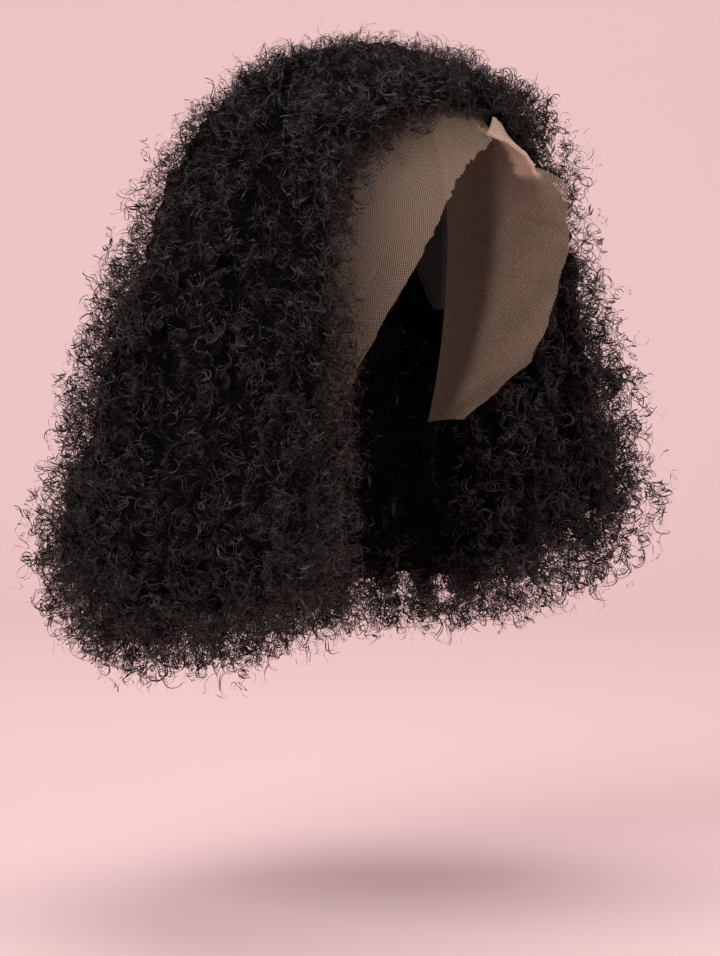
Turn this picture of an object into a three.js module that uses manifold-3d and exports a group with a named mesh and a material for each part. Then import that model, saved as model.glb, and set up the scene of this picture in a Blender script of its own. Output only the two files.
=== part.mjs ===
// Lace front wig: a cap and a sheer lace front, both shaped to the head, that carry a wide bob of tight curls.
// Millimetres, +Z up. The wearer looks along -Y, +X is the wearer's left, and the origin is the top of the head,
// where the inside of the cap sits on the crown.
import * as THREE from "three";
import { mergeVertices } from "three/addons/utils/BufferGeometryUtils.js";
import Module from "manifold-3d";

const wasm = await Module();
wasm.setup();

const { degToRad, lerp, smoothstep } = THREE.MathUtils;

// The head that the wig is sized for: an ellipsoid about 545 mm round, drawn out below its widest level.
const HEAD = { halfWidth: 77, halfLength: 96, above: 95, below: 160 };
const HEAD_SIDES = 36;
const HEAD_RINGS = 20;

const CAP_WALL = 1.2;
const LACE_WALL = 1.0;
const GAP = 0.3;
const HAIR_CLEAR = 1.9;
const SEAM_Y = -6;

// The cap's rim seen from the side: an ear tab at the seam, an arch over the ear and a straight nape.
const RIM = { tabBottom: -138, tabBack: 6, earTop: -104, earBack: 44, nape: -152, beyond: 130 };

// The lace in columns across the head, from the right ear (negative) over the forehead to the left ear.
// across turns about the -Y axis, 0 being straight up. hairline and edge are angles from the -Y axis to the line
// where the hair begins and to the raw edge. lift is how steeply the lace stands off the head there, and fold how
// far its outer strip is turned over.
const LACE_COLUMNS = [
  { across: -136, hairline: 84, edge: 80, lift: 0, fold: 0 },
  { across: -120, hairline: 76, edge: 66, lift: 0, fold: 0 },
  { across: -104, hairline: 70, edge: 47, lift: 0, fold: 0 },
  { across: -90, hairline: 67, edge: 36, lift: 0, fold: 0 },
  { across: -66, hairline: 62.5, edge: 31, lift: 0, fold: 0 },
  { across: -42, hairline: 54, edge: 29.5, lift: 0, fold: 0 },
  { across: -18, hairline: 45, edge: 29, lift: 0, fold: 0 },
  { across: -6, hairline: 42, edge: 30, lift: 0, fold: 0 },
  { across: 8, hairline: 42, edge: 28, lift: 2, fold: 150 },
  { across: 24, hairline: 46, edge: 27, lift: 6, fold: 170 },
  { across: 44, hairline: 56, edge: 29, lift: 14, fold: 172 },
  { across: 62, hairline: 62, edge: 32, lift: 28, fold: 172 },
  { across: 74, hairline: 65, edge: 34, lift: 42, fold: 30 },
  { across: 90, hairline: 67, edge: 36, lift: 52, fold: 0 },
  { across: 104, hairline: 70, edge: 41, lift: 52, fold: 0 },
  { across: 118, hairline: 75, edge: 50, lift: 46, fold: 0 },
  { across: 132, hairline: 82, edge: 72, lift: 24, fold: 0 },
];
const LACE_STEP = 7.5;
const LACE_UNDER_ROWS = 3;
const LACE_FREE_ROWS = 5;
const FOLD_ROWS = 4;
const FOLD_ARC = 5;
const STRIP_ROWS = 2;
const STRIP = 13;
const LIFT_WITHIN = 14;
const ON_HEAD_RADIUS = 90;

// The outer form of the hair, a row for each level: half its width, and its reach in front of and behind the
// head's middle. The front reach below the hairline is the one the form would have if the face weren't open.
const HAIR_LEVELS = [
  { height: 15, side: 14, front: 12, back: 12 },
  { height: 11, side: 35, front: 32, back: 30 },
  { height: 3, side: 57, front: 54, back: 49 },
  { height: -10, side: 73, front: 72, back: 63 },
  { height: -24, side: 87, front: 98, back: 75 },
  { height: -36, side: 97, front: 148, back: 84 },
  { height: -60, side: 112, front: 202, back: 98 },
  { height: -100, side: 128, front: 225, back: 115 },
  { height: -145, side: 142, front: 245, back: 134 },
  { height: -190, side: 154, front: 260, back: 147 },
  { height: -235, side: 167, front: 270, back: 159 },
  { height: -278, side: 174, front: 270, back: 166 },
  { height: -308, side: 167, front: 255, back: 159 },
  { height: -326, side: 148, front: 225, back: 140 },
];
const HAIR_SIDES = 36;
const HEM_FRONT_RISE = 46;
const HEM_DROP = 400;

// The face opening: half its angle, seen from above, at each level of the hairline, from its peak down. slope is
// how steeply the hair rises outwards from the hairline there.
const FACE_LEVELS = [
  { height: -31, half: 5, slope: 0.6 },
  { height: -34, half: 27, slope: 0.6 },
  { height: -40, half: 43, slope: 0.55 },
  { height: -58, half: 58, slope: 0.3 },
  { height: -80, half: 62.5, slope: 0 },
  { height: -200, half: 62, slope: 0 },
  { height: -350, half: 63, slope: 0 },
];
const HAIRLINE_REACH = 75;
const FACE_REACH = 330;

// The hollow round the neck, below the head.
const NECK = { top: -120, bottom: -345, topRadius: 66, bottomRadius: 74, lengthShare: 0.94, sides: 28 };

// Locks of curls in tiers down the outer form. from and to are shares of the way from the crown to the hem, and
// open is the angle from the front that the tier leaves free.
const LOCK_TIERS = [
  { count: 9, open: 0, from: 0.12, to: 0.3, radius: 19 },
  { count: 11, open: 62, from: 0.24, to: 0.55, radius: 22 },
  { count: 12, open: 62, from: 0.48, to: 0.78, radius: 24 },
  { count: 14, open: 62, from: 0.7, to: 1.02, radius: 24 },
];
// Locks down the two faces of the hair beside the face: out is the share of the way from the head to the outer form.
const FACE_LOCKS = [
  { out: 0.3, from: -78, to: -268, radius: 15 },
  { out: 0.62, from: -66, to: -276, radius: 17 },
  { out: 0.92, from: -58, to: -282, radius: 18 },
];
const LOCK_STEPS = 5;
const FACE_LOCK_STEPS = 7;
const LOCK_SIDES = 5;
const CURL = { sway: 6, pitch: 130, tip: 0.35, root: 0.5, sunk: 0.5 };

const COLOURS = { hair: 0x17120f, cap: 0x1b1715, lace: 0xc19a78 };

// Values of a table's columns at a place along one of them, in straight lines between the rows.
function between(table, key, place) {
  const down = table[0][key] > table[1][key];
  const after = table.findIndex((row) => (down ? row[key] <= place : row[key] >= place));
  const last = after < 0 ? table.length - 1 : Math.max(after, 1);
  const [a, b] = [table[last - 1], table[last]];
  const share = THREE.MathUtils.clamp((place - a[key]) / (b[key] - a[key]), 0, 1);
  return Object.fromEntries(Object.keys(a).map((name) => [name, lerp(a[name], b[name], share)]));
}

// A closed geometry as a solid that can be joined and cut.
function solidOf(geometry) {
  for (const name of Object.keys(geometry.attributes)) {
    if (name !== "position") geometry.deleteAttribute(name);
  }
  const merged = mergeVertices(geometry, 1e-4);
  return new wasm.Manifold(
    new wasm.Mesh({
      numProp: 3,
      vertProperties: new Float32Array(merged.attributes.position.array),
      triVerts: new Uint32Array(merged.index.array),
    }),
  );
}

// A solid as a geometry again.
function geometryOf(solid) {
  const { vertProperties, triVerts } = solid.getMesh();
  return new THREE.BufferGeometry()
    .setAttribute("position", new THREE.BufferAttribute(vertProperties, 3))
    .setIndex(new THREE.BufferAttribute(triVerts, 1));
}

function indexedGeometry(points, triangles) {
  return new THREE.BufferGeometry()
    .setAttribute("position", new THREE.Float32BufferAttribute(points.flatMap((p) => p.toArray()), 3))
    .setIndex(triangles);
}

// A solid through closed rings of points, all running the same way round, with its two ends closed.
function loft(rings) {
  const sides = rings[0].length;
  const points = rings.flat();
  const triangles = [];
  for (let r = 0; r + 1 < rings.length; r++) {
    for (let k = 0; k < sides; k++) {
      const [a, b] = [r * sides + k, r * sides + ((k + 1) % sides)];
      triangles.push(a, a + sides, b, b, a + sides, b + sides);
    }
  }
  const endOf = (ring) => ring.reduce((sum, p) => sum.add(p), new THREE.Vector3()).divideScalar(sides);
  const [first, last] = [points.length, points.length + 1];
  points.push(endOf(rings[0]), endOf(rings.at(-1)));
  const lastRing = (rings.length - 1) * sides;
  for (let k = 0; k < sides; k++) {
    const next = (k + 1) % sides;
    triangles.push(first, k, next, last, lastRing + next, lastRing + k);
  }
  return indexedGeometry(points, triangles);
}

// A wall of even thickness on both sides of a grid of points.
function wall(rows, thickness) {
  const [high, wide] = [rows.length, rows[0].length];
  const at = (i, j) => rows[THREE.MathUtils.clamp(i, 0, high - 1)][THREE.MathUtils.clamp(j, 0, wide - 1)];
  const sides = [[], []];
  rows.forEach((row, i) =>
    row.forEach((point, j) => {
      const along = at(i, j + 1).clone().sub(at(i, j - 1));
      const down = at(i + 1, j).clone().sub(at(i - 1, j));
      const normal = along.cross(down).normalize();
      sides[0].push(point.clone().addScaledVector(normal, thickness / 2));
      sides[1].push(point.clone().addScaledVector(normal, -thickness / 2));
    }),
  );
  const points = sides.flat();
  const back = high * wide;
  const triangles = [];
  const quad = (a, b, c, d) => triangles.push(a, b, c, a, c, d);
  for (let i = 0; i + 1 < high; i++) {
    for (let j = 0; j + 1 < wide; j++) {
      const [a, b, c, d] = [i * wide + j, i * wide + j + 1, (i + 1) * wide + j + 1, (i + 1) * wide + j];
      quad(a, b, c, d);
      quad(back + d, back + c, back + b, back + a);
    }
  }
  const rim = [];
  for (let j = 0; j + 1 < wide; j++) rim.push(j);
  for (let i = 0; i + 1 < high; i++) rim.push(i * wide + wide - 1);
  for (let j = wide - 1; j > 0; j--) rim.push((high - 1) * wide + j);
  for (let i = high - 1; i > 0; i--) rim.push(i * wide);
  rim.forEach((a, k) => {
    const b = rim[(k + 1) % rim.length];
    quad(a, back + a, back + b, b);
  });
  return indexedGeometry(points, triangles);
}

// A point on the head, or clear of it, at an angle from the -Y axis and an angle across from straight up.
function onHead(fromFront, across, clear) {
  const up = Math.sin(fromFront) * Math.cos(across);
  const tall = (up > 0 ? HEAD.above : HEAD.below) + clear;
  return new THREE.Vector3(
    (HEAD.halfWidth + clear) * Math.sin(fromFront) * Math.sin(across),
    -(HEAD.halfLength + clear) * Math.cos(fromFront),
    -HEAD.above + tall * up,
  );
}

// The whole head form, grown by a clearance.
function headForm(clear) {
  const form = new THREE.SphereGeometry(1, HEAD_SIDES, HEAD_RINGS).rotateX(Math.PI / 2);
  const place = form.attributes.position;
  for (let i = 0; i < place.count; i++) {
    const up = place.getZ(i);
    const tall = (up > 0 ? HEAD.above : HEAD.below) + clear;
    place.setXYZ(
      i,
      place.getX(i) * (HEAD.halfWidth + clear),
      place.getY(i) * (HEAD.halfLength + clear),
      -HEAD.above + up * tall,
    );
  }
  return solidOf(form);
}

// What lies behind the seam and above the rim: the cap's outline from the side, taken right through.
function capSide() {
  const { tabBottom, tabBack, earTop, earBack, nape, beyond } = RIM;
  const outline = new THREE.Shape()
    .moveTo(SEAM_Y + GAP / 2, beyond)
    .lineTo(SEAM_Y + GAP / 2, tabBottom)
    .lineTo(tabBack, tabBottom)
    .bezierCurveTo(tabBack, earTop, earBack, earTop, earBack, (earTop + nape) / 2)
    .quadraticCurveTo(earBack, nape, earBack + 20, nape)
    .lineTo(beyond, nape)
    .lineTo(beyond, beyond);
  // The outline lies in Y and Z: its own X becomes Y, its Y becomes Z, and it is taken through along X.
  const turn = new THREE.Matrix4().makeBasis(
    new THREE.Vector3(0, 1, 0),
    new THREE.Vector3(0, 0, 1),
    new THREE.Vector3(1, 0, 0),
  );
  const through = new THREE.ExtrudeGeometry(outline, { depth: 2 * beyond, bevelEnabled: false, curveSegments: 5 });
  return solidOf(through.translate(0, 0, -beyond).applyMatrix4(turn));
}

function cap() {
  return headForm(CAP_WALL).subtract(headForm(0)).intersect(capSide());
}

// One column of the lace, from the seam to its raw edge: flat on the head up to the hairline, then free.
function laceColumn(across, under) {
  const { hairline, edge, lift, fold } = between(LACE_COLUMNS, "across", across);
  const turn = degToRad(across);
  const start = degToRad(hairline);
  const seam = Math.acos(-(SEAM_Y - GAP / 2) / HEAD.halfLength);
  const column = [];
  for (let k = 0; k < LACE_UNDER_ROWS; k++) {
    column.push(onHead(lerp(seam, start, k / LACE_UNDER_ROWS), turn, under));
  }
  const root = onHead(start, turn, under);
  const forward = onHead(start - 0.01, turn, under).sub(root).normalize();
  const sideways = onHead(start, turn + 0.01, under).sub(root);
  const outward = forward.clone().cross(sideways).normalize();
  const length = degToRad(hairline - edge) * ON_HEAD_RADIUS;
  const strip = Math.min(STRIP, 0.35 * length);
  const arc = Math.min(FOLD_ARC, 0.4 * length);
  const free = length - strip - arc;
  const stops = [0];
  for (let k = 1; k <= LACE_FREE_ROWS; k++) stops.push((free * k) / LACE_FREE_ROWS);
  for (let k = 1; k <= FOLD_ROWS; k++) stops.push(free + (arc * k) / FOLD_ROWS);
  for (let k = 1; k <= STRIP_ROWS; k++) stops.push(length - strip + (strip * k) / STRIP_ROWS);
  const off = smoothstep(Math.max(lift, fold / 5), 0, 20);
  const walk = root.clone();
  stops.forEach((stop, k) => {
    if (k > 0) {
      const half = (stop + stops[k - 1]) / 2;
      const bow = (half / ON_HEAD_RADIUS) * (1 - smoothstep(lift, 0, 30));
      const rise = degToRad(lift) * smoothstep(half, 0, LIFT_WITHIN) - bow;
      const turned = degToRad(fold) * THREE.MathUtils.clamp((half - free) / arc, 0, 1);
      const step = stop - stops[k - 1];
      walk.addScaledVector(forward, step * Math.cos(rise + turned));
      walk.addScaledVector(outward, step * Math.sin(rise + turned));
    }
    const flat = onHead(start - degToRad(hairline - edge) * (stop / length), turn, under);
    column.push(flat.lerp(walk, off));
  });
  return column;
}

// The lace as a wall on the head, or the room that it needs: thicker and longer all round by a clearance.
function lace(clear) {
  const [first, last] = [LACE_COLUMNS[0].across, LACE_COLUMNS.at(-1).across];
  const count = Math.round((last - first) / LACE_STEP);
  const columns = [];
  for (let k = 0; k <= count; k++) columns.push(laceColumn(lerp(first, last, k / count), LACE_WALL / 2));
  const away = (point, from) => point.add(point.clone().sub(from).setLength(clear));
  if (clear > 0) {
    columns.forEach((column) => away(column.at(-1), column.at(-2)));
    columns[0].forEach((point, k) => away(point, columns[1][k]));
    columns.at(-1).forEach((point, k) => away(point, columns.at(-2)[k]));
  }
  return solidOf(wall(columns, LACE_WALL + 2 * clear));
}

// A point of the hair's outer form at an angle round from the front and a share of the way from crown to hem.
function onHair(around, share) {
  const place = THREE.MathUtils.clamp(share, 0, 1) * (HAIR_LEVELS.length - 1);
  const row = Math.min(Math.floor(place), HAIR_LEVELS.length - 2);
  const level = (name) => lerp(HAIR_LEVELS[row][name], HAIR_LEVELS[row + 1][name], place - row);
  const ahead = Math.cos(around);
  const reach = ahead > 0 ? level("front") : level("back");
  const rise = HEM_FRONT_RISE * smoothstep(share, 0.5, 1) * smoothstep(ahead, -0.05, 0.4);
  return new THREE.Vector3(level("side") * Math.sin(around), -reach * ahead, level("height") + rise);
}

// The hair's whole outer form, without locks and with nothing cut out of it.
function hairForm() {
  const rings = HAIR_LEVELS.map((_, row) => {
    const ring = [];
    for (let k = 0; k < HAIR_SIDES; k++) {
      ring.push(onHair((2 * Math.PI * k) / HAIR_SIDES, row / (HAIR_LEVELS.length - 1)));
    }
    return ring;
  });
  return solidOf(loft(rings));
}

// One lock: a swaying, tapered tube that lies half sunk along a path and ends in a thin tip. The path gives, at a
// share of its length, a point and the ways out of the hair and beside the lock.
function lock(path, steps, length, radius, phase) {
  const rings = [];
  for (let step = 0; step <= steps; step++) {
    const along = step / steps;
    const { point, outward, beside } = path(along);
    const swing = phase + (2 * Math.PI * length * along) / CURL.pitch;
    const thin = along < 0.4 ? lerp(CURL.root, 1, along / 0.4) : lerp(1, CURL.tip, (along - 0.4) / 0.6);
    const thick = radius * thin;
    point.addScaledVector(outward, -CURL.sunk * thick + 0.5 * CURL.sway * Math.sin(swing));
    point.addScaledVector(beside, CURL.sway * Math.cos(swing));
    const ring = [];
    for (let k = 0; k < LOCK_SIDES; k++) {
      const angle = (2 * Math.PI * k) / LOCK_SIDES;
      const corner = point.clone().addScaledVector(outward, thick * Math.cos(angle));
      ring.push(corner.addScaledVector(beside, thick * Math.sin(angle)));
    }
    rings.push(ring);
  }
  return solidOf(loft(rings));
}

// A lock down the outer form, at an angle round from the front.
function outerLock(tier, around, phase) {
  const path = (along) => {
    const share = lerp(tier.from, tier.to, along);
    const point = onHair(around, share);
    const down = onHair(around, share + 0.02).sub(onHair(around, share - 0.06)).normalize();
    const beside = new THREE.Vector3(Math.cos(around), Math.sin(around), 0);
    const outward = down.cross(beside).normalize();
    point.z -= Math.max(share - 1, 0) * HEM_DROP;
    return { point, outward, beside };
  };
  const length = onHair(around, tier.from).distanceTo(onHair(around, tier.to));
  return lock(path, LOCK_STEPS, length, tier.radius, phase);
}

// A lock down the face of the hair beside the face opening, on the right (-1) or the left (1).
function faceLock({ out, from, to, radius }, side, phase) {
  const path = (along) => {
    const height = lerp(from, to, along);
    const angle = degToRad(between(FACE_LEVELS, "height", height).half);
    const level = between(HAIR_LEVELS, "height", height);
    const outer = 1 / Math.hypot(Math.sin(angle) / level.side, Math.cos(angle) / level.front);
    const reach = lerp(HEAD.halfWidth, outer, out);
    const point = new THREE.Vector3(side * reach * Math.sin(angle), -reach * Math.cos(angle), height);
    const outward = new THREE.Vector3(-side * Math.cos(angle), -Math.sin(angle), 0);
    const beside = outward.clone().cross(new THREE.Vector3(0, 0, -1));
    return { point, outward, beside };
  };
  return lock(path, FACE_LOCK_STEPS, from - to, radius, phase);
}

function outerLocks() {
  return LOCK_TIERS.flatMap((tier, row) => {
    const sweep = 2 * (Math.PI - degToRad(tier.open));
    return Array.from({ length: tier.count }, (_, k) => {
      const around = degToRad(tier.open) + (sweep * (k + 0.5)) / tier.count;
      return outerLock(tier, around, 2.4 * k + row);
    });
  });
}

function faceLocks() {
  return FACE_LOCKS.flatMap((one, k) => [faceLock(one, -1, 2 * k), faceLock(one, 1, 2 * k + 1)]);
}

// The open space in front of the face, from the hairline down.
function faceOpening() {
  const rings = FACE_LEVELS.map(({ height, half, slope }) => {
    const [x, y] = [FACE_REACH * Math.sin(degToRad(half)), -FACE_REACH * Math.cos(degToRad(half))];
    const inner = height - slope * HAIRLINE_REACH;
    const outer = inner + slope * FACE_REACH;
    return [
      new THREE.Vector3(0, 0, inner),
      new THREE.Vector3(-x, y, outer),
      new THREE.Vector3(0, -FACE_REACH, outer),
      new THREE.Vector3(x, y, outer),
    ];
  });
  return solidOf(loft(rings));
}

// The space for the head and the neck.
function hollow() {
  const { top, bottom, topRadius, bottomRadius, lengthShare, sides } = NECK;
  const neck = new THREE.CylinderGeometry(topRadius, bottomRadius, top - bottom, sides)
    .rotateX(Math.PI / 2)
    .scale(1, lengthShare, 1)
    .translate(0, 0, (top + bottom) / 2);
  return headForm(HAIR_CLEAR).add(solidOf(neck));
}

// Half of all space, in front of the seam or behind it.
function seamHalf(side) {
  const size = 2 * FACE_REACH;
  const half = new THREE.BoxGeometry(size, size, 2 * size).translate(0, SEAM_Y + side * (size / 2 + GAP), 0);
  return solidOf(half);
}

// All the hair as one solid: the outer form, open for the face, with locks fused on and room for head and lace.
function hair() {
  const fuse = (sum, one) => sum.add(one);
  const open = outerLocks().reduce(fuse, hairForm()).subtract(faceOpening());
  return faceLocks().reduce(fuse, open).subtract(hollow()).subtract(lace(GAP));
}

function piece(name, solid, colour, roughness) {
  const material = new THREE.MeshStandardMaterial({ color: colour, roughness, metalness: 0 });
  const mesh = new THREE.Mesh(geometryOf(solid), material);
  mesh.name = name;
  return mesh;
}

// The largest body of a solid, without crumbs that a cut may leave.
function mainBody(solid) {
  return solid.decompose().reduce((best, one) => (one.volume() > best.volume() ? one : best));
}

const allHair = hair();
const wig = new THREE.Group();
wig.add(
  piece("cap", mainBody(cap()), COLOURS.cap, 0.9),
  piece("lace_front", lace(0), COLOURS.lace, 0.8),
  piece("front_hair", mainBody(allHair.intersect(seamHalf(-1))), COLOURS.hair, 0.6),
  piece("cap_hair", mainBody(allHair.intersect(seamHalf(1))), COLOURS.hair, 0.6),
);

export default wig;
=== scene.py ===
"""Looks of a lace front wig: tight curls grown as fine ribbons over the hair's form, a sheer net lace and a
plain cap.

Metres, +Z up. The wearer looks along -Y and +X is the wearer's left. The origin is the crown, inside the
cap.
"""

import math

import bmesh
import bpy
import numpy as np
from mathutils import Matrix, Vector
from mathutils.bvhtree import BVHTree


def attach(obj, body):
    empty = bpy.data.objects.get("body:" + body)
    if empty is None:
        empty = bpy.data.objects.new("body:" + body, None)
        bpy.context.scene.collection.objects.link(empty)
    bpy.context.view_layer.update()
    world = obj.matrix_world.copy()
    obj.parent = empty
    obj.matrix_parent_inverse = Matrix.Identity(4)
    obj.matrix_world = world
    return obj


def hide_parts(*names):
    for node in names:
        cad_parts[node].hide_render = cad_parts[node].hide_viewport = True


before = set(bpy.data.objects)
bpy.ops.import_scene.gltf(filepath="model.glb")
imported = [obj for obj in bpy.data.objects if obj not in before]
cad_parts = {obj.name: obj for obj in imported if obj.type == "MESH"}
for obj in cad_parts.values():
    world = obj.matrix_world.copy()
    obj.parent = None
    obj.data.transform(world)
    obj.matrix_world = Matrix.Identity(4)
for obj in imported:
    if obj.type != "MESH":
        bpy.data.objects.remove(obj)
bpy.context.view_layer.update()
rng = np.random.default_rng(11)
SHARE = 1.0

# The head that the wig is shaped to: half its width and length, and its reach above and below the widest
# level.
HEAD = dict(half_width=0.077, half_length=0.096, above=0.095, below=0.160)
SEAM_Y = -0.006
LACE_CLEAR = 0.0005
CAP_WALL = 0.0012

# The lace in columns across the head, from the right ear (negative) over the forehead to the left ear, in
# degrees: across from straight up, then the hairline and the raw edge from the -Y axis, how steeply the
# lace stands off the head, and how far its outer strip is turned over.
LACE_COLUMNS = np.array(
    [
        # across, hairline, edge, lift, fold
        (-136, 84, 80, 0, 0),
        (-120, 76, 66, 0, 0),
        (-104, 70, 47, 0, 0),
        (-90, 67, 36, 0, 0),
        (-66, 62.5, 31, 0, 0),
        (-42, 54, 29.5, 0, 0),
        (-18, 45, 29, 0, 0),
        (-6, 42, 30, 0, 0),
        (8, 42, 28, 2, 150),
        (24, 46, 27, 6, 170),
        (44, 56, 29, 14, 172),
        (62, 62, 32, 28, 172),
        (74, 65, 34, 42, 30),
        (90, 67, 36, 52, 0),
        (104, 70, 41, 52, 0),
        (118, 75, 50, 46, 0),
        (132, 82, 72, 24, 0),
    ]
)
LACE_ROWS = 48
LACE_ACROSS = 270
STRIP = 0.013
STRIP_SHARE = 0.35
FOLD_ARC = 0.005
LIFT_WITHIN = 0.014
ON_HEAD_RADIUS = 0.090
NET_CELL_MM = 1.2
NET_TURNS = (17, 77, 137)
LACE_COLOUR = (0.45, 0.325, 0.235)
# The turned-over strip's colour, lighter than the lace: painted light, as if that strip caught the light.
DOUBLED_PAINTED_LIGHT_COLOUR = (0.72, 0.54, 0.41)

# The cap's rim: its height in millimetres at turns from the seam to the back, in degrees. It arches over
# each ear.
RIM_TURNS = [0, 6, 16, 30, 44, 90]
RIM_HEIGHTS = [-138, -138, -112, -108, -150, -152]

# How deep the closed inside of the hair lies under the form, how much deeper at the hem, and the most of
# the hair's thickness that this may take.
SINK = 0.009
HEM_SINK = 0.003
SINK_SHARE = 0.26

# How far the closed inside stays back from the open curls at the front edges, and up from the hem. At the
# middle of the back it stays up by less, a share of that.
CORE_BACK = 0.015
CORE_UP = 0.019
CENTRE_SHARE = 0.3

# How far the curls stand out past the form where they are fullest, the right temple's share of that, how
# strongly curls gather at the temples to fill it, and the share of it that the closed inside takes.
PUFF = 0.010
RIGHT_SHARE = 0.45
TEMPLE_CURLS = 2.6
CORE_PUFF = 0.5

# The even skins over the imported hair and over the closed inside: the size of their cells.
FORM_CELL = 0.004
ROUNDED_CELL = 0.0055
CORE_CELL = 0.0052

# The hollow for the head, the gap that curls leave to the cap and the lace, and how deep the open curls are
# where their strands are widest.
HOLLOW_RADIUS = 0.088
WALL_GAP = 0.004
OPEN_DEPTH = 0.025

# The most that a strand turns at one of its points, in radians.
MOST_BEND = 1.1

# The fine hairs at the hairline: how many, the band that they are tied to, in degrees, and how far their
# roots are clear of the head.
HAIRLINE_HAIRS = 3200
HAIRLINE_BAND = 17
ROOT_CLEAR = 0.0016


def smooth_between(value, low, high):
    """0 below low, 1 above high, and a smooth rise between."""
    share = np.clip((value - low) / (high - low), 0, 1)
    return share * share * (3 - 2 * share)


def unit(vectors):
    """Vectors of length one, along the last axis."""
    return vectors / np.maximum(np.linalg.norm(vectors, axis=-1, keepdims=True), 1e-9)


def link(obj):
    """Puts an object into the scene."""
    bpy.context.scene.collection.objects.link(obj)
    return obj


def mesh_from_arrays(name, points, quads, uvs=None, uv_name="OFBake"):
    """A smooth-shaded mesh object of quads, built from whole arrays."""
    mesh = bpy.data.meshes.new(name)
    mesh.vertices.add(len(points))
    mesh.vertices.foreach_set("co", np.ascontiguousarray(points, np.float32).ravel())
    mesh.loops.add(quads.size)
    mesh.loops.foreach_set("vertex_index", np.ascontiguousarray(quads, np.int32).ravel())
    mesh.polygons.add(len(quads))
    mesh.polygons.foreach_set("loop_start", np.arange(0, quads.size, 4, dtype=np.int32))
    mesh.polygons.foreach_set("use_smooth", np.ones(len(quads), bool))
    mesh.update(calc_edges=True)
    if uvs is not None:
        layer = mesh.uv_layers.new(name=uv_name)
        layer.data.foreach_set("uv", np.ascontiguousarray(uvs[quads.ravel()], np.float32).ravel())
    return link(bpy.data.objects.new(name, mesh))


def grid_quads(rows, columns):
    """Quads over a grid of points stored row by row."""
    index = np.arange(rows * columns).reshape(rows, columns)
    corners = index[:-1, :-1], index[:-1, 1:], index[1:, 1:], index[1:, :-1]
    return np.stack([c.ravel() for c in corners], axis=1)


def add_node(tree, kind, inputs=None, **settings):
    """A shader node with its settings. Its inputs, by name or number, are values or other outputs."""
    node = tree.nodes.new(kind)
    for name, value in settings.items():
        setattr(node, name, value)
    for name, value in (inputs or {}).items():
        if isinstance(value, bpy.types.NodeSocket):
            tree.links.new(value, node.inputs[name])
        else:
            node.inputs[name].default_value = value
    return node


def new_material(name, colour, roughness, **sockets):
    """A material of one shader with constant values, and its node tree to add to."""
    material = bpy.data.materials.new(name)
    material.use_nodes = True
    shader = material.node_tree.nodes["Principled BSDF"]
    shader.inputs["Base Color"].default_value = (*colour, 1)
    shader.inputs["Roughness"].default_value = roughness
    for socket, value in sockets.items():
        shader.inputs[socket.replace("_", " ")].default_value = value
    return material, material.node_tree, shader


def map_range(tree, value, source, target):
    """A value taken from one range to another, and kept within it."""
    ends = dict(zip(("From Min", "From Max", "To Min", "To Max"), (*source, *target)))
    return add_node(tree, "ShaderNodeMapRange", {"Value": value, **ends}).outputs["Result"]


def strand_material():
    """Near-black hair. The map gives each strand a tone of its own across, and its root to its tip up. The
    lightest strands are painted highlight, which stands in for gloss along whole arcs.
    """
    gloss = dict(Specular_IOR_Level=0.28, Specular_Tint=(1.0, 0.90, 0.91, 1))
    material, tree, shader = new_material("hair_strands", (0.01, 0.008, 0.007), 0.36, **gloss)
    place = add_node(tree, "ShaderNodeUVMap", uv_map="OFBake")
    parts = add_node(tree, "ShaderNodeSeparateXYZ", {0: place.outputs["UV"]})
    tone_and_painted_highlight = add_node(tree, "ShaderNodeValToRGB", {"Fac": parts.outputs["X"]})
    tone_and_painted_highlight.color_ramp.elements[0].color = (0.0018, 0.0013, 0.0013, 1)
    # The lightest end of this ramp is painted highlight: strands that take it read as lit along whole arcs.
    tone_and_painted_highlight.color_ramp.elements[1].color = (0.029, 0.0208, 0.0208, 1)
    tone_and_painted_highlight.color_ramp.elements.new(0.65).color = (0.0052, 0.0038, 0.0037, 1)
    tip = add_node(tree, "ShaderNodeMath", {0: parts.outputs["Y"], 1: 2.0}, operation="POWER")
    share = add_node(tree, "ShaderNodeMath", {0: tip.outputs[0], 1: 0.5}, operation="MULTIPLY")
    lighter = add_node(tree, "ShaderNodeMix", {"Factor": share.outputs[0]}, data_type="RGBA")
    tree.links.new(tone_and_painted_highlight.outputs["Color"], lighter.inputs["A"])
    lighter.inputs["B"].default_value = (0.022, 0.0135, 0.011, 1)
    tree.links.new(lighter.outputs["Result"], shader.inputs["Base Color"])
    return material


def felted_lines(tree, place, shift, scale, lines):
    """Thin curved lines that run every way, like strands pressed together: the contours of a soft noise."""
    moved = add_node(tree, "ShaderNodeVectorMath", {0: place, 1: (shift, 0, 0)}, operation="ADD")
    inputs = {"Vector": moved.outputs["Vector"], "Scale": scale, "Detail": 1.0}
    noise = add_node(tree, "ShaderNodeTexNoise", inputs)
    levels = add_node(tree, "ShaderNodeMath", {0: noise.outputs["Fac"], 1: lines}, operation="MULTIPLY")
    wave = add_node(tree, "ShaderNodeMath", {0: levels.outputs[0], 1: 0.5}, operation="PINGPONG")
    return map_range(tree, wave.outputs[0], (0.28, 0.5), (0.0, 1.0))


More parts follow.
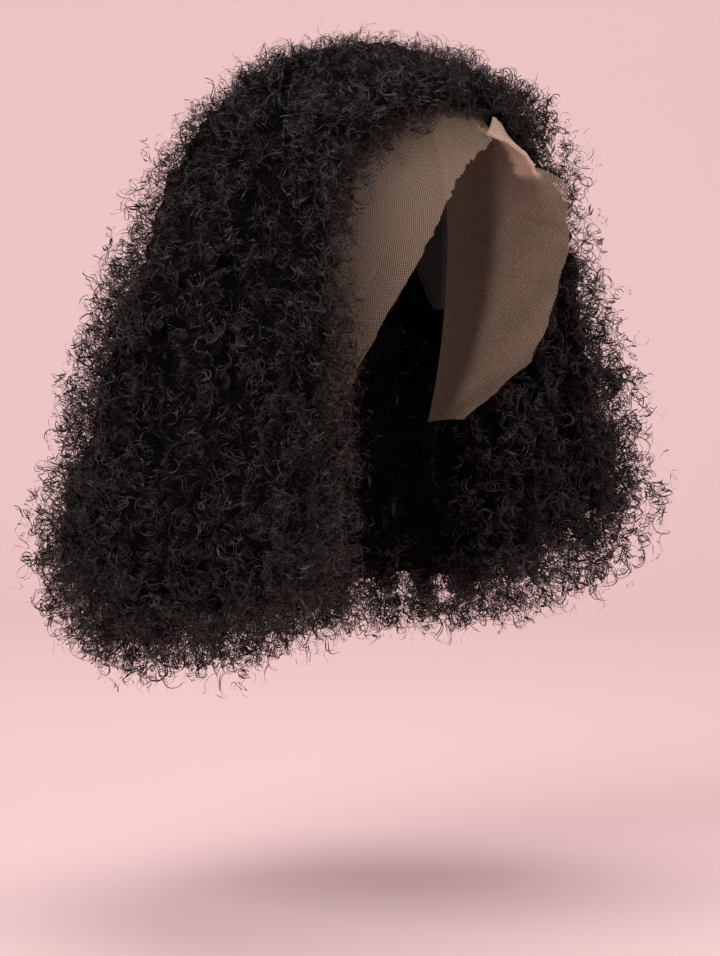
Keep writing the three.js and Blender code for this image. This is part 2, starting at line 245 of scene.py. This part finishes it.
def core_material():
    """The dark depth between the curls, felted all over with finer strands. Its near-black ground, darker
    than the strands, is painted shadow of the deep hair, and its lighter lines are painted highlights on
    the finer strands.
    """
    # Near-black, darker than the strands: the hair's own black with painted shadow of the deep hair.
    dark = (0.002, 0.0015, 0.0015)
    material, tree, shader = new_material("hair_depth", dark, 0.7, Specular_IOR_Level=0.05)
    place = add_node(tree, "ShaderNodeTexCoord").outputs["Object"]
    felt_and_highlight = felted_lines(tree, place, 0.0, 95.0, 11.0)
    for shift, scale, lines in ((1.7, 120.0, 9.0), (3.1, 80.0, 13.0)):
        layer = felted_lines(tree, place, shift, scale, lines)
        felt_and_highlight = add_node(tree, "ShaderNodeMath", {0: felt_and_highlight, 1: layer}, operation="MAXIMUM").outputs[0]
    patches = add_node(tree, "ShaderNodeTexNoise", {"Vector": place, "Scale": 60.0, "Detail": 2.0})
    shown = map_range(tree, patches.outputs["Fac"], (0.35, 0.65), (0.15, 1.0))
    # Where the lines show, the colour is lighter: painted highlight on the finer strands; the ground
    # between them is painted shadow.
    light = add_node(tree, "ShaderNodeMath", {0: felt_and_highlight, 1: shown}, operation="MULTIPLY")
    tint = add_node(tree, "ShaderNodeMix", {"Factor": light.outputs[0]}, data_type="RGBA")
    tint.inputs["A"].default_value = (0.001, 0.0008, 0.0008, 1)
    tint.inputs["B"].default_value = (0.0075, 0.0056, 0.0056, 1)
    tree.links.new(tint.outputs["Result"], shader.inputs["Base Color"])
    bump = add_node(tree, "ShaderNodeBump", {"Height": felt_and_highlight, "Strength": 0.7, "Distance": 0.0012})
    tree.links.new(bump.outputs["Normal"], shader.inputs["Normal"])
    return material


def net_material():
    """Sheer net: threads round six-sided holes, which are clear. Behind the hairline, at 0 on the map, each
    hole has a dark knot where a hair is tied. Where the lace is turned over onto itself, it is fuller, and
    its colour there is lighter: painted light, as if that strip caught the light."""
    material, tree, shader = new_material("lace_net", LACE_COLOUR, 0.8)
    place = add_node(tree, "ShaderNodeUVMap", uv_map="net_mm")
    pitch = 4 * math.pi / (math.sqrt(3) * NET_CELL_MM)
    waves = []
    for turn in NET_TURNS:
        way = (pitch * math.cos(math.radians(turn)), pitch * math.sin(math.radians(turn)), 0)
        inputs = {0: place.outputs["UV"], 1: way}
        along = add_node(tree, "ShaderNodeVectorMath", inputs, operation="DOT_PRODUCT")
        waves.append(add_node(tree, "ShaderNodeMath", {0: along.outputs["Value"]}, operation="COSINE"))
    pair = add_node(tree, "ShaderNodeMath", {0: waves[0].outputs[0], 1: waves[1].outputs[0]})
    total = add_node(tree, "ShaderNodeMath", {0: pair.outputs[0], 1: waves[2].outputs[0]})
    thread = map_range(tree, total.outputs[0], (-0.35, -1.0), (0.10, 0.72))
    parts = add_node(tree, "ShaderNodeSeparateXYZ", {0: place.outputs["UV"]})
    tied = map_range(tree, parts.outputs["Y"], (1.0, -5.0), (0.0, 1.0))
    doubled_and_painted_light = add_node(tree, "ShaderNodeAttribute", attribute_name="doubled_and_painted_light").outputs["Fac"]
    woven = map_range(tree, total.outputs[0], (0.9, -0.6), (0.35, 0.95))
    fuller = add_node(tree, "ShaderNodeMath", {0: doubled_and_painted_light, 1: woven}, operation="MULTIPLY")
    inputs = {0: thread, 1: fuller.outputs[0]}
    thread = add_node(tree, "ShaderNodeMath", inputs, operation="MAXIMUM").outputs[0]
    spot = map_range(tree, total.outputs[0], (0.2, 1.6), (0.0, 0.9))
    knot = add_node(tree, "ShaderNodeMath", {0: tied, 1: spot}, operation="MULTIPLY")
    cover = add_node(tree, "ShaderNodeMath", {0: thread, 1: knot.outputs[0]}, operation="MAXIMUM")
    # The turned-over strip takes the lighter colour: painted light.
    layers_and_painted_light = add_node(tree, "ShaderNodeMix", {"Factor": doubled_and_painted_light}, data_type="RGBA")
    layers_and_painted_light.inputs["A"].default_value = (*LACE_COLOUR, 1)
    layers_and_painted_light.inputs["B"].default_value = (*DOUBLED_PAINTED_LIGHT_COLOUR, 1)
    tint = add_node(tree, "ShaderNodeMix", {"Factor": knot.outputs[0]}, data_type="RGBA")
    tree.links.new(layers_and_painted_light.outputs["Result"], tint.inputs["A"])
    tint.inputs["B"].default_value = (0.012, 0.009, 0.008, 1)
    tree.links.new(tint.outputs["Result"], shader.inputs["Base Color"])
    tree.links.new(cover.outputs[0], shader.inputs["Alpha"])
    return material


def cap_material():
    """Plain dark stretch cloth with a fine knit."""
    material, tree, shader = new_material("cap_cloth", (0.012, 0.010, 0.010), 0.85)
    shader.inputs["Sheen Weight"].default_value = 0.06
    place = add_node(tree, "ShaderNodeTexCoord")
    knit = add_node(tree, "ShaderNodeTexVoronoi", {"Vector": place.outputs["Object"], "Scale": 700.0})
    inputs = {"Height": knit.outputs["Distance"], "Strength": 0.6, "Distance": 0.0006}
    bump = add_node(tree, "ShaderNodeBump", inputs)
    tree.links.new(bump.outputs["Normal"], shader.inputs["Normal"])
    return material


def on_head(from_front, across, clear):
    """Points on the head, or clear of it, at angles from the -Y axis and across from straight up."""
    up = np.sin(from_front) * np.cos(across)
    tall = np.where(up > 0, HEAD["above"], HEAD["below"]) + clear
    x = (HEAD["half_width"] + clear) * np.sin(from_front) * np.sin(across)
    y = -(HEAD["half_length"] + clear) * np.cos(from_front)
    return np.stack(np.broadcast_arrays(x, y, -HEAD["above"] + tall * up), axis=-1)


def lace_column(across, hairline, edge, lift, fold, ragged):
    """One column of the lace, as points from the seam to its raw edge."""
    turn, start = math.radians(across), math.radians(hairline)
    seam = math.acos(-SEAM_Y / HEAD["half_length"])
    under = on_head(np.linspace(seam, start, LACE_ROWS // 3, endpoint=False), turn, LACE_CLEAR)
    root = on_head(start, turn, LACE_CLEAR)
    forward = unit(on_head(start - 0.01, turn, LACE_CLEAR) - root)
    outward = unit(np.cross(forward, on_head(start, turn + 0.01, LACE_CLEAR) - root))
    length = math.radians(hairline - edge) * ON_HEAD_RADIUS + ragged
    strip = min(STRIP, STRIP_SHARE * length)
    arc = min(FOLD_ARC, 0.4 * length)
    free = length - strip - arc
    stops = np.linspace(0, length, LACE_ROWS)
    half = (stops[1:] + stops[:-1]) / 2
    bow = half / ON_HEAD_RADIUS * (1 - smooth_between(lift, 0, 30))
    rise = math.radians(lift) * smooth_between(half, 0, LIFT_WITHIN) - bow
    angle = rise + math.radians(fold) * np.clip((half - free) / arc, 0, 1)
    heading = np.cos(angle)[:, None] * forward + np.sin(angle)[:, None] * outward
    step = np.diff(stops)[:, None] * heading
    walk = root + np.vstack([np.zeros(3), np.cumsum(step, axis=0)])
    flat = on_head(start - stops / ON_HEAD_RADIUS, turn, LACE_CLEAR)
    off = smooth_between(max(lift, fold / 5), 0, 20)
    return np.vstack([under, flat + (walk - flat) * off])


def build_lace(material):
    """The lace as one sheet, with small ripples where it stands free and a ragged raw edge."""
    across = np.linspace(LACE_COLUMNS[0, 0], LACE_COLUMNS[-1, 0], LACE_ACROSS)
    values = [np.interp(across, LACE_COLUMNS[:, 0], column) for column in LACE_COLUMNS.T[1:]]
    blur = np.hanning(11) / np.hanning(11).sum()
    values = [np.convolve(np.pad(v, 5, mode="edge"), blur, mode="valid") for v in values]
    notches = 0.0003 * rng.standard_normal(len(across))
    ragged = notches + 0.0007 * np.sin(0.55 * across + 2.0 * np.sin(0.21 * across))
    points = np.array([lace_column(*row) for row in zip(across, *values, ragged)])
    lift = values[2][:, None]
    free = np.linspace(-0.5, 1, points.shape[1])[None, :]
    beside = across[:, None]
    ripple = np.sin(0.30 * beside + 5.0 * free) + 0.6 * np.sin(0.83 * beside - 3.0 * free)
    depth = 0.0016 * smooth_between(lift, 8, 50) * smooth_between(free, 0, 0.9)
    points[..., 0] += depth * ripple
    hairline = LACE_ROWS // 3
    along = np.linalg.norm(np.diff(points, axis=1, prepend=points[:, :1]), axis=-1).cumsum(axis=1)
    along -= along[:, hairline, None]
    steps = np.linalg.norm(np.diff(points[:, hairline], axis=0, prepend=points[:1, hairline]), axis=-1)
    run = np.cumsum(steps)[:, None] + np.zeros_like(along)
    uvs = 1000 * np.stack([run, along], axis=-1).reshape(-1, 2)
    quads = grid_quads(*points.shape[:2])
    lace = mesh_from_arrays("lace_net", points.reshape(-1, 3), quads, uvs, "net_mm")
    lace.data.materials.append(material)
    reach = along[:, -1:]
    strip = np.minimum(STRIP, STRIP_SHARE * reach)
    begins = reach - 2 * strip
    turned = smooth_between(values[3], 60, 150)[:, None] * smooth_between(along, begins - 0.006, begins)
    # Marks the turned-over lace: fuller there, and painted lighter as if lit.
    doubled_and_painted_light = lace.data.attributes.new("doubled_and_painted_light", "FLOAT", "POINT")
    doubled_and_painted_light.data.foreach_set("value", turned.astype(np.float32).ravel())
    return lace


def build_cap(material):
    """The cap behind the seam, as a thin wall down to a rim with an arch over each ear."""
    turns = np.radians(np.linspace(0, 180, 73))
    rim = np.interp(np.degrees(np.minimum(turns, math.pi - turns)), RIM_TURNS, RIM_HEIGHTS)
    shares = np.linspace(0, 1, 28)[:, None] ** 1.6
    top = -HEAD["above"] + HEAD["above"] * math.sqrt(1 - (SEAM_Y / HEAD["half_length"]) ** 2)
    height = top + (rim / 1000 - top) * shares
    drop = height + HEAD["above"]
    tall = np.where(drop > 0, HEAD["above"], HEAD["below"])
    size = np.sqrt(np.maximum(1 - (drop / tall) ** 2, 0))
    wide, deep = HEAD["half_width"] * size, HEAD["half_length"] * size
    ahead, beside = np.sin(turns) / deep, np.cos(turns) / wide
    spread = ahead**2 + beside**2
    lean = SEAM_Y * np.sin(turns) / deep**2
    reach = (-lean + np.sqrt(np.maximum(lean**2 - spread * ((SEAM_Y / deep) ** 2 - 1), 0))) / spread
    points = np.stack([reach * np.cos(turns), SEAM_Y + reach * np.sin(turns), height], axis=-1)
    cap = mesh_from_arrays("cap_shell", points.reshape(-1, 3), grid_quads(*points.shape[:2]))
    cap.data.materials.append(material)
    wall = cap.modifiers.new("wall", "SOLIDIFY")
    wall.thickness, wall.offset = CAP_WALL, 1
    return cap


def remeshed(name, mesh, voxel, relax):
    """A mesh made again as one even, closed skin and smoothed."""
    obj = link(bpy.data.objects.new(name, mesh))
    skin = obj.modifiers.new("skin", "REMESH")
    skin.mode, skin.voxel_size = "VOXEL", voxel
    soft = obj.modifiers.new("soft", "SMOOTH")
    soft.factor, soft.iterations = 0.5, relax
    made = bpy.data.meshes.new_from_object(obj.evaluated_get(bpy.context.evaluated_depsgraph_get()))
    bpy.data.objects.remove(obj)
    made.name = name
    return made


def hair_form():
    """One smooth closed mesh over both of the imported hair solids."""
    packed = bmesh.new()
    for name in ("front_hair", "cap_hair"):
        packed.from_mesh(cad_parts[name].data)
    mesh = bpy.data.meshes.new("hair_solids")
    packed.to_mesh(mesh)
    packed.free()
    return remeshed("hair_form", mesh, FORM_CELL, 3)


def values_of(items, name, wide, kind=np.float32):
    """One property of all vertices, or of all triangles, as an array."""
    flat = np.empty(len(items) * wide, kind)
    items.foreach_get(name, flat)
    return flat.reshape(-1, wide)


def mesh_tree(mesh):
    """A search tree over a mesh."""
    points = [v.co for v in mesh.vertices]
    return BVHTree.FromPolygons(points, [tuple(p.vertices) for p in mesh.polygons])


def depth_under(mesh):
    """How far to sink each vertex: less where the hair is thin, and most along the hem."""
    place = values_of(mesh.vertices, "co", 3)
    normal = values_of(mesh.vertices, "normal", 3)
    tree = mesh_tree(mesh)
    hits = [tree.ray_cast(Vector(p - 0.001 * n), Vector(-n))[3] or 0.1 for p, n in zip(place, normal)]
    low = smooth_between(-place[:, 2], 0.06, 0.30)
    return np.minimum(SINK + HEM_SINK * low, SINK_SHARE * np.array(hits))


def puff(place, temple_share=1.0):
    """How much further the curls stand out than the form: over the temples, most at the left behind the
    lifted lace, and at the corners of the back."""
    x, y, z = place.T
    sides = smooth_between(x, 0.02, 0.055) + RIGHT_SHARE * smooth_between(-x, 0.02, 0.055)
    temple = sides * smooth_between(-y, 0.0, 0.06) * smooth_between(-z, -0.01, 0.03)
    temple *= 0.5 + 0.5 * smooth_between(-z, 0.14, 0.20) + 0.6 * smooth_between(z, -0.09, -0.06)
    back = smooth_between(y, 0.02, 0.08) * smooth_between(-z, 0.02, 0.06)
    back *= 0.4 + 0.6 * smooth_between(np.abs(x), 0.03, 0.08)
    return PUFF * (temple_share * temple + back) * smooth_between(z, -0.34, -0.285)


def core_mesh(mesh):
    """The closed dark inside of the hair, rounded off and set below the open curls."""
    core = remeshed("hair_rounded", mesh.copy(), ROUNDED_CELL, 4)
    place = values_of(core.vertices, "co", 3)
    place += (CORE_PUFF * puff(place) - depth_under(core))[:, None] * values_of(core.vertices, "normal", 3)
    low = smooth_between(-place[:, 2], 0.10, 0.26)
    place[:, 1] += CORE_BACK * low * smooth_between(-place[:, 1], -0.02, 0.08)
    beside = CENTRE_SHARE + (1 - CENTRE_SHARE) * smooth_between(np.abs(place[:, 0]), 0.05, 0.12)
    place[:, 2] += CORE_UP * beside * smooth_between(-place[:, 2], 0.18, 0.34)
    core.vertices.foreach_set("co", place.ravel())
    core = remeshed("hair_depth", core, CORE_CELL, 3)
    place = values_of(core.vertices, "co", 3)
    fine = np.sin(520 * place + 2.5 * np.sin(310 * place[:, [1, 2, 0]])).sum(axis=1, keepdims=True)
    broad = np.sin(190 * place + 2.0 * np.sin(120 * place[:, [2, 0, 1]])).sum(axis=1, keepdims=True)
    place += (0.0011 * fine + 0.0010 * (broad - 1.0)) * values_of(core.vertices, "normal", 3)
    core.vertices.foreach_set("co", place.ravel())
    return core


def scatter(mesh, inward, count):
    """Random places on a mesh, with the normal and the way in to the core at each. More lie where that is
    longer, at the temples and on top, and fewer inside the hollow."""
    mesh.calc_loop_triangles()
    corners = values_of(mesh.loop_triangles, "vertices", 3, np.int32)
    place = values_of(mesh.vertices, "co", 3)
    normal = values_of(mesh.vertices, "normal", 3)
    a, b, c = (place[corners[:, k]] for k in range(3))
    weight = np.linalg.norm(np.cross(b - a, c - a), axis=1)
    weight *= 0.5 + (np.linalg.norm(inward[corners[:, 0]], axis=1) + puff(a, TEMPLE_CURLS)) / SINK
    weight *= 1 + 0.5 * smooth_between(a[:, 2], -0.06, -0.01)
    faces_in = (a[:, :2] * normal[corners[:, 0], :2]).sum(axis=1) < 0
    inside = (np.hypot(*a[:, :2].T) < HOLLOW_RADIUS) & faces_in
    weight[inside] *= 0.2 + 0.6 * smooth_between(-a[inside, 2], 0.22, 0.30)
    pick = rng.choice(len(corners), count, p=weight / weight.sum())
    share = rng.dirichlet((1, 1, 1), count)[..., None]
    at, out, way = ((values[corners[pick]] * share).sum(axis=1) for values in (place, normal, inward))
    return at, unit(out), way


def node_tree(*names):
    """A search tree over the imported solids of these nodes."""
    points, faces = [], []
    for name in names:
        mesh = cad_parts[name].data
        faces += [[len(points) + v for v in p.vertices] for p in mesh.polygons]
        points += [v.co for v in mesh.vertices]
    return BVHTree.FromPolygons(points, faces)


def way_to(tree, points):
    """The straight way from each point to the nearest one of a search tree."""
    return np.array([tree.find_nearest(Vector(p))[0] for p in points]) - points


def flow_at(place, normal):
    """The way the hair falls: out from the crown and down, but up and back from the front hairline."""
    out = unit(place * (1, 1, 0))
    fall = 0.45 * out + np.array((0, 0, -0.9))
    swept = np.stack([6 * place[:, 0], np.full(len(place), 0.9), np.full(len(place), 0.35)], axis=-1)
    front = smooth_between(-place[:, 1], 0.035, 0.065) * smooth_between(place[:, 2], -0.05, -0.02)
    way = fall + (swept - fall) * front[:, None]
    along = way - (way * normal).sum(axis=1, keepdims=True) * normal
    return unit(along + 1e-4 * out)


def ribbons(name, points, side, width, tone_and_highlight, material):
    """Thin ribbons through rows of points, as one mesh. They narrow to the tip."""
    count, steps = points.shape[:2]
    share = np.linspace(0, 1, steps)
    half = 0.5 * width[:, None] * (1 - 0.75 * share[None, :] ** 3)
    edges = np.stack([points - side * half[..., None], points + side * half[..., None]], axis=2)
    index = np.arange(count * steps * 2).reshape(count, steps, 2)
    corners = index[:, :-1, 0], index[:, :-1, 1], index[:, 1:, 1], index[:, 1:, 0]
    quads = np.stack([c.ravel() for c in corners], axis=1)
    across = np.stack([tone_and_highlight - 0.01, tone_and_highlight + 0.01], axis=-1)[:, None, :] + np.zeros((1, steps, 1))
    uvs = np.stack([np.clip(across, 0, 1), share[None, :, None] + np.zeros_like(across)], axis=-1)
    obj = mesh_from_arrays(name, edges.reshape(-1, 3), quads, uvs.reshape(-1, 2))
    obj.data.materials.append(material)
    return obj


def curl_points(place, axis, normal, kind):
    """Points along curls that turn about each axis as they run along it, and the ribbons' side at each
    point. The axis wanders, so that no two turns are alike. The strands of a curl run close together."""
    count, steps, step = len(place), kind["steps"], kind["step"]
    radius = rng.uniform(*kind["radius"], (count, 1))
    drift = rng.uniform(*kind["drift"], (count, 1)) * axis
    turn_axis = axis * rng.choice((-1, 1), (count, 1))
    heading = unit(np.cross(turn_axis, rng.standard_normal((count, 3))))
    facing = normal + 0.5 * rng.standard_normal((count, 3))
    point = np.zeros((count, 3))
    points, sides = [], []
    for _ in range(steps):
        turn_axis = unit(turn_axis + kind["wander"] * rng.standard_normal((count, 3)))
        about = unit(turn_axis - (turn_axis * heading).sum(axis=1, keepdims=True) * heading)
        inner = np.cross(about, heading)
        points.append(point)
        sides.append(unit(np.cross(heading, facing)))
        bend = np.minimum(step / (radius * rng.uniform(0.8, 1.4, (count, 1))), MOST_BEND)
        heading = unit(np.cos(bend) * heading + np.sin(bend) * inner)
        point = point + step * heading + step * drift
    points = np.stack(points, axis=1)
    points -= points.mean(axis=1, keepdims=True)
    share = np.linspace(0, 1, steps)[None, :, None]
    points[..., 2:] -= rng.uniform(0, kind["sag"], (count, 1, 1)) * share**2
    each = points, np.stack(sides, axis=1), place
    points, sides, place = (np.repeat(v, kind["strands"], axis=0) for v in each)
    apart = rng.normal(0, kind["apart"], (2, len(points), 1, 3))
    scale = rng.normal(1, 0.07, (len(points), 1, 1))
    return place[:, None] + scale * points + apart[0] + apart[1] * (2 * share - 1), sides


def crosses_wall(start, points):
    """Which strands run through the cap or the lace, seen from a start outside them."""
    crossing = np.zeros(len(points), bool)
    for k, strand in enumerate(points[:, ::3]):
        origin = Vector(start[k])
        for point in strand:
            ray = Vector(point) - origin
            if wall_tree.ray_cast(origin, ray.normalized(), ray.length + 0.001)[0] is not None:
                crossing[k] = True
                break
    return crossing


def grow_curls(name, place, normal, inward, material, kind):
    """Curls of one kind about the given places."""
    count = len(place)
    axis = flow_at(place, normal) + rng.uniform(*kind["tilt"], (count, 1)) * normal
    axis = unit(axis + kind["stray"] * rng.standard_normal((count, 3)))
    below_top = 0.2 + 0.8 * smooth_between(-place[:, 2:], 0.0, 0.06)
    above = kind["above"] * below_top + puff(place)[:, None]
    raised = rng.uniform(0, 1, (count, 1)) ** kind["deep"]
    middle = place + raised * above * normal + (1 - raised) * inward
    points, side = curl_points(middle, axis, normal, kind)
    clear = ~crosses_wall(np.repeat(place, kind["strands"], axis=0), points)
    open_share = np.clip((np.linalg.norm(inward, axis=1) + 1.5 * puff(place)) / OPEN_DEPTH, 0, 1)
    wider = 1 + 0.8 * np.repeat(open_share, kind["strands"])
    width = rng.uniform(*kind["width"], len(points)) * wider
    # Each strand's place on the ramp: its own tone, and at the top end a painted highlight.
    tone_and_highlight = rng.uniform(0, 1, len(points))
    return ribbons(name, points[clear], side[clear], width[clear], tone_and_highlight[clear], material)


def grow_hairline(name, material, count):
    """Fine hairs tied to the lace from the hairline back: swept up and away, then curling at the tips."""
    low, high = LACE_COLUMNS[0, 0] + 2, LACE_COLUMNS[-1, 0] - 2
    across = rng.uniform(low, high, count)
    hairline = np.interp(across, LACE_COLUMNS[:, 0], LACE_COLUMNS[:, 1])
    behind = HAIRLINE_BAND * rng.uniform(0, 1, count) ** 1.5 - 0.6
    at, turn = np.radians(hairline + behind), np.radians(across)
    root = on_head(at, turn, ROOT_CLEAR)
    away = unit(on_head(at + 0.01, turn, ROOT_CLEAR) - root)
    beside = unit(on_head(at, turn + 0.01, ROOT_CLEAR) - root)
    out = unit(np.cross(beside, away))
    steps = 12
    share = np.linspace(0, 1, steps)[None, :, None]
    length = rng.uniform(0.022, 0.040, (count, 1, 1))
    top = smooth_between(np.abs(turn), 1.0, 1.7)[:, None, None]
    sweep = (0.9 - 0.3 * top) * away[:, None] + rng.normal(0, 0.16, (count, 1, 1)) * beside[:, None]
    lean = rng.uniform(0.25, 0.75, (count, 1, 1)) * (0.7 + 0.5 * top)
    points = root[:, None] + length * (sweep * share + out[:, None] * lean * np.sin(1.7 * share))
    points[..., 2:] -= 0.35 * length * top * share**2
    turns = rng.uniform(1.4, 2.6, (count, 1, 1)) * share
    curl = 2 * math.pi * (turns + rng.uniform(0, 1, (count, 1, 1)))
    size = rng.uniform(0.0012, 0.0030, (count, 1, 1)) * smooth_between(share, 0.25, 0.9)
    points += size * (np.cos(curl) * beside[:, None] + np.sin(curl) * out[:, None])
    tangent = unit(np.gradient(points, axis=1))
    side = unit(np.cross(tangent, out[:, None] + 0.5 * rng.standard_normal((count, 1, 3))))
    clear = ~crosses_wall(points[:, 3], points[:, 3:])
    width = rng.uniform(0.00020, 0.00040, clear.sum())
    return ribbons(name, points[clear], side[clear], width, rng.uniform(0, 1, clear.sum()), material)


def settle(obj, slot, *nodes):
    """Puts a piece on the wig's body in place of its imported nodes."""
    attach(obj, "root")
    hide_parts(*nodes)
    return obj


# The kinds of curls: how many, the strands in each and how far they lie apart, their steps, the coil's
# radius, its drift along the axis for each length of strand and how its axis wanders, how far the curls may
# lie above the form and how they favour the core, how their axes tilt out and stray, how they sag, and the
# strands' width.
CURL_KINDS = dict(
    curls=dict(
        count=6000, strands=2, apart=0.0008, steps=20, step=0.0020,
        radius=(0.0017, 0.0031), drift=(0.3, 0.65), wander=0.2, above=0.003, deep=1.5,
        tilt=(-0.3, 0.3), stray=0.6, sag=0.003, width=(0.00028, 0.00046),
    ),
    loops=dict(
        count=7100, strands=2, apart=0.0007, steps=12, step=0.0021,
        radius=(0.0017, 0.0033), drift=(0.2, 0.6), wander=0.22, above=0.006, deep=1.2,
        tilt=(-0.3, 0.4), stray=0.6, sag=0.002, width=(0.00028, 0.00046),
    ),
    flyaways=dict(
        count=3400, strands=1, apart=0.0, steps=15, step=0.0024,
        radius=(0.0021, 0.0042), drift=(0.15, 0.6), wander=0.18, above=0.010, deep=0.7,
        tilt=(0.0, 0.8), stray=0.6, sag=0.003, width=(0.00018, 0.00034),
    ),
)

wall_tree = node_tree("cap", "lace_front")
strands = strand_material()
lace = build_lace(net_material())
settle(lace, "lace", "lace_front")
cap = build_cap(cap_material())
settle(cap, "cap", "cap")

form = hair_form()
core = link(bpy.data.objects.new("hair_depth", core_mesh(form)))
to_core = way_to(mesh_tree(core.data), values_of(form.vertices, "co", 3))
core.data.materials.clear()
core.data.materials.append(core_material())
settle(core, "hair", "front_hair", "cap_hair")

for kind_name, kind in CURL_KINDS.items():
    at, out, inward = scatter(form, to_core, int(kind["count"] * SHARE))
    clear = np.linalg.norm(way_to(wall_tree, at), axis=1) > WALL_GAP
    front = at[:, 1] < SEAM_Y
    left = at[:, 0] > 0
    for is_front in (True, False):
        for is_left in (True, False):
            chosen = clear & (front == is_front) & (left == is_left)
            label = f"{'front' if is_front else 'back'}_{'left' if is_left else 'right'}_{kind_name}"
            piece = grow_curls(label, at[chosen], out[chosen], inward[chosen], strands, kind)
            settle(piece, "hair", "front_hair" if is_front else "cap_hair")

hairline_hair = grow_hairline("hairline_hair", strands, int(HAIRLINE_HAIRS * SHARE))
settle(hairline_hair, "hair", "front_hair")

# A plain pale studio: a floor that runs up into a wall behind, and large soft lights. The wall is clear
# from its back, so that it hides nothing when seen from there.
FLOOR_Z = -0.475
BEND_RADIUS = 0.8
AZIMUTH, DISTANCE, CAMERA_Z, PITCH = -55, 2.0, -0.0753, -4.46
back = np.array((math.sin(math.radians(AZIMUTH)), -math.cos(math.radians(AZIMUTH)), 0))
right = np.array((-back[1], back[0], 0))
sweep = [(6, 0)]
for a in np.linspace(0, math.pi / 2, 16):
    sweep.append((-1.4 - BEND_RADIUS * math.sin(a), BEND_RADIUS - BEND_RADIUS * math.cos(a)))
sweep.append((-2.2, 5))
wall_points = np.array(
    [[side * right + near * back + (0, 0, FLOOR_Z + up) for side in (-6, 6)] for near, up in sweep]
)
backdrop_material, tree, shader = new_material("backdrop", (0.87, 0.63, 0.63), 0.9)
from_behind = add_node(tree, "ShaderNodeNewGeometry").outputs["Backfacing"]
shown = add_node(tree, "ShaderNodeMath", {0: 1.0, 1: from_behind}, operation="SUBTRACT")
tree.links.new(shown.outputs[0], shader.inputs["Alpha"])
backdrop = mesh_from_arrays("backdrop", wall_points.reshape(-1, 3), grid_quads(len(sweep), 2))
backdrop.data.materials.append(backdrop_material)


def soft_light(name, place, size, power, target=(0, 0, -0.15)):
    """A square light that faces the wig."""
    light = bpy.data.lights.new(name, "AREA")
    light.size, light.energy = size, power
    obj = link(bpy.data.objects.new(name, light))
    obj.location = place
    obj.rotation_euler = (Vector(target) - Vector(place)).to_track_quat("-Z", "Y").to_euler()
    return obj


soft_light("key", 1.6 * back - 1.3 * right + (0, 0, 1.2), 1.6, 34)
soft_light("fill", 1.4 * back + 1.7 * right + (0, 0, 0.5), 1.6, 16)
soft_light("top", -0.3 * back + (0, 0, 1.9), 1.8, 22)
world = bpy.data.worlds.new("studio")
world.use_nodes = True
world.node_tree.nodes["Background"].inputs["Color"].default_value = (1.0, 0.92, 0.92, 1)
world.node_tree.nodes["Background"].inputs["Strength"].default_value = 0.45
bpy.context.scene.world = world

camera = link(bpy.data.objects.new("camera", bpy.data.cameras.new("camera")))
camera.data.lens = 134
camera.data.dof.use_dof = False
camera.location = DISTANCE * back - 0.0011 * right + (0, 0, CAMERA_Z)
aim = Vector(-back * math.cos(math.radians(PITCH)) + (0, 0, math.sin(math.radians(PITCH))))
camera.rotation_euler = aim.to_track_quat("-Z", "Y").to_euler()
bpy.context.scene.camera = camera
bpy.context.scene.view_settings.view_transform = "Standard"
